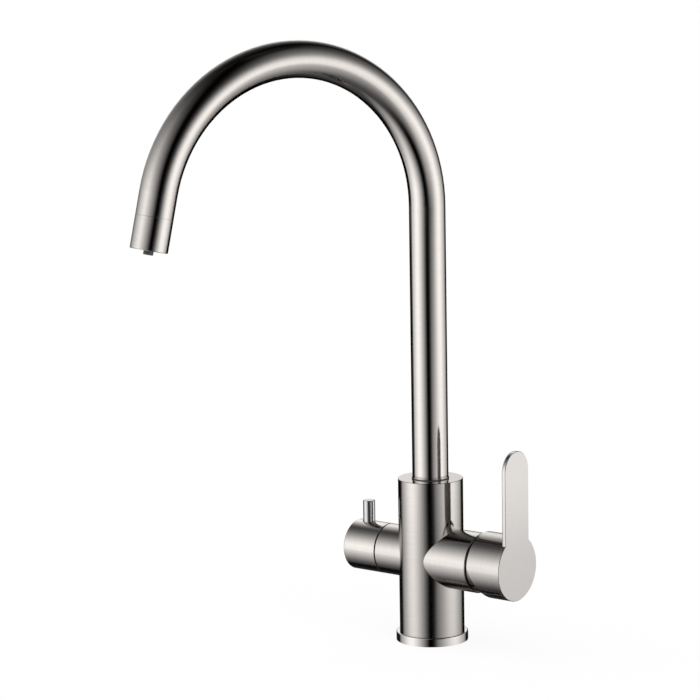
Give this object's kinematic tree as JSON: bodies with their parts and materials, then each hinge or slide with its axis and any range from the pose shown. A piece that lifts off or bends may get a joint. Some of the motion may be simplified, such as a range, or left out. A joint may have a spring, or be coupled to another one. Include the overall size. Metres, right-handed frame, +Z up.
{
  "type": "kitchen faucet",
  "caption": "Deck-mounted mixer with a tall swivelling swan-neck spout, a side lever, and an opposite knob that opens a separate filtered-water outlet.",
  "frame": {"origin": "centre of the fixing-stud hole, on the body's axis in the plane of the deck it stands on", "axes": "+Z up along the body; +X out along the mixer lever's axis, with the filter knob on -X; -Y is the user's side"},
  "size_m": [0.1591, 0.2377, 0.4198],
  "materials": {
    "brushed_steel": "satin brushed",
    "polished_chrome": "polished",
    "plain_steel": "plain",
    "brass": "turned",
    "seal_rubber": "matt",
    "cartridge_plastic": "moulded",
    "disc_ceramic": "lapped ceramic",
    "aerator_plastic": "moulded",
    "dark_plastic": "moulded",
    "hose_plastic": "extruded"
  },
  "bodies": {
    "tap_body": {"body_shell": "brushed_steel", "base_flange": "brushed_steel", "base_seal": "seal_rubber", "spout_glide_ring": "cartridge_plastic", "spout_retaining_screw": "plain_steel", "cartridge_base": "cartridge_plastic", "cartridge_seals": "seal_rubber", "cartridge_shell": "cartridge_plastic", "mixer_fixed_disc": "disc_ceramic", "clamp_nut": "brass", "cover_ring": "brushed_steel", "filter_valve_body": "brass", "filter_seat_seal": "seal_rubber", "filter_fixed_disc": "disc_ceramic"},
    "mixer_turner": {"mixer_carrier": "cartridge_plastic", "carrier_seal": "seal_rubber", "stem_pin": "plain_steel"},
    "mixer_slide": {"mixer_moving_disc": "disc_ceramic", "disc_slider": "cartridge_plastic"},
    "mixer_lever": {"stem": "brass", "lever_hub": "brushed_steel", "lever_plate": "brushed_steel", "lever_grub_screw": "plain_steel", "lever_plug_cap": "brushed_steel"},
    "filter_handle": {"filter_moving_disc": "disc_ceramic", "filter_spindle": "brass", "spindle_seal": "seal_rubber", "filter_knob": "brushed_steel", "knob_pin": "polished_chrome", "knob_grub_screw": "plain_steel"},
    "spout": {"spout_tube": "brushed_steel", "spout_spigot": "brushed_steel", "spigot_seals": "seal_rubber", "filter_plug": "brass", "filter_plug_seal": "seal_rubber", "filter_hose": "hose_plastic", "tip_sleeve": "brushed_steel", "aerator_housing": "aerator_plastic", "aerator_seal": "seal_rubber", "aerator_screen": "aerator_plastic", "filter_nozzle": "dark_plastic"}
  },
  "joints": [
    {"name": "spout_swivel", "type": "hinge", "parent": "tap_body", "child": "spout", "pos_m": [0, 0, 0.1143], "axis": [0, 0, 1], "continuous": true},
    {"name": "lever_turn", "type": "hinge", "parent": "tap_body", "child": "mixer_turner", "pos_m": [0.0331, 0, 0.0594], "axis": [1, 0, 0], "range_deg": [-45, 45]},
    {"name": "lever_tilt", "type": "hinge", "parent": "mixer_turner", "child": "mixer_lever", "pos_m": [0.0331, 0, 0.0594], "axis": [0, 1, 0], "range_deg": [0, 22]},
    {"name": "disc_slide", "type": "slide", "parent": "mixer_turner", "child": "mixer_slide", "axis": [0, 0, 1], "range_m": [0, 0.0023]},
    {"name": "filter_turn", "type": "hinge", "parent": "tap_body", "child": "filter_handle", "pos_m": [-0.05, 0, 0.0594], "axis": [1, 0, 0], "range_deg": [0, 90]}
  ],
  "couplings": [
    {"joint": "disc_slide", "follows": "lever_tilt", "m_per_rad": 0.0059}
  ]
}
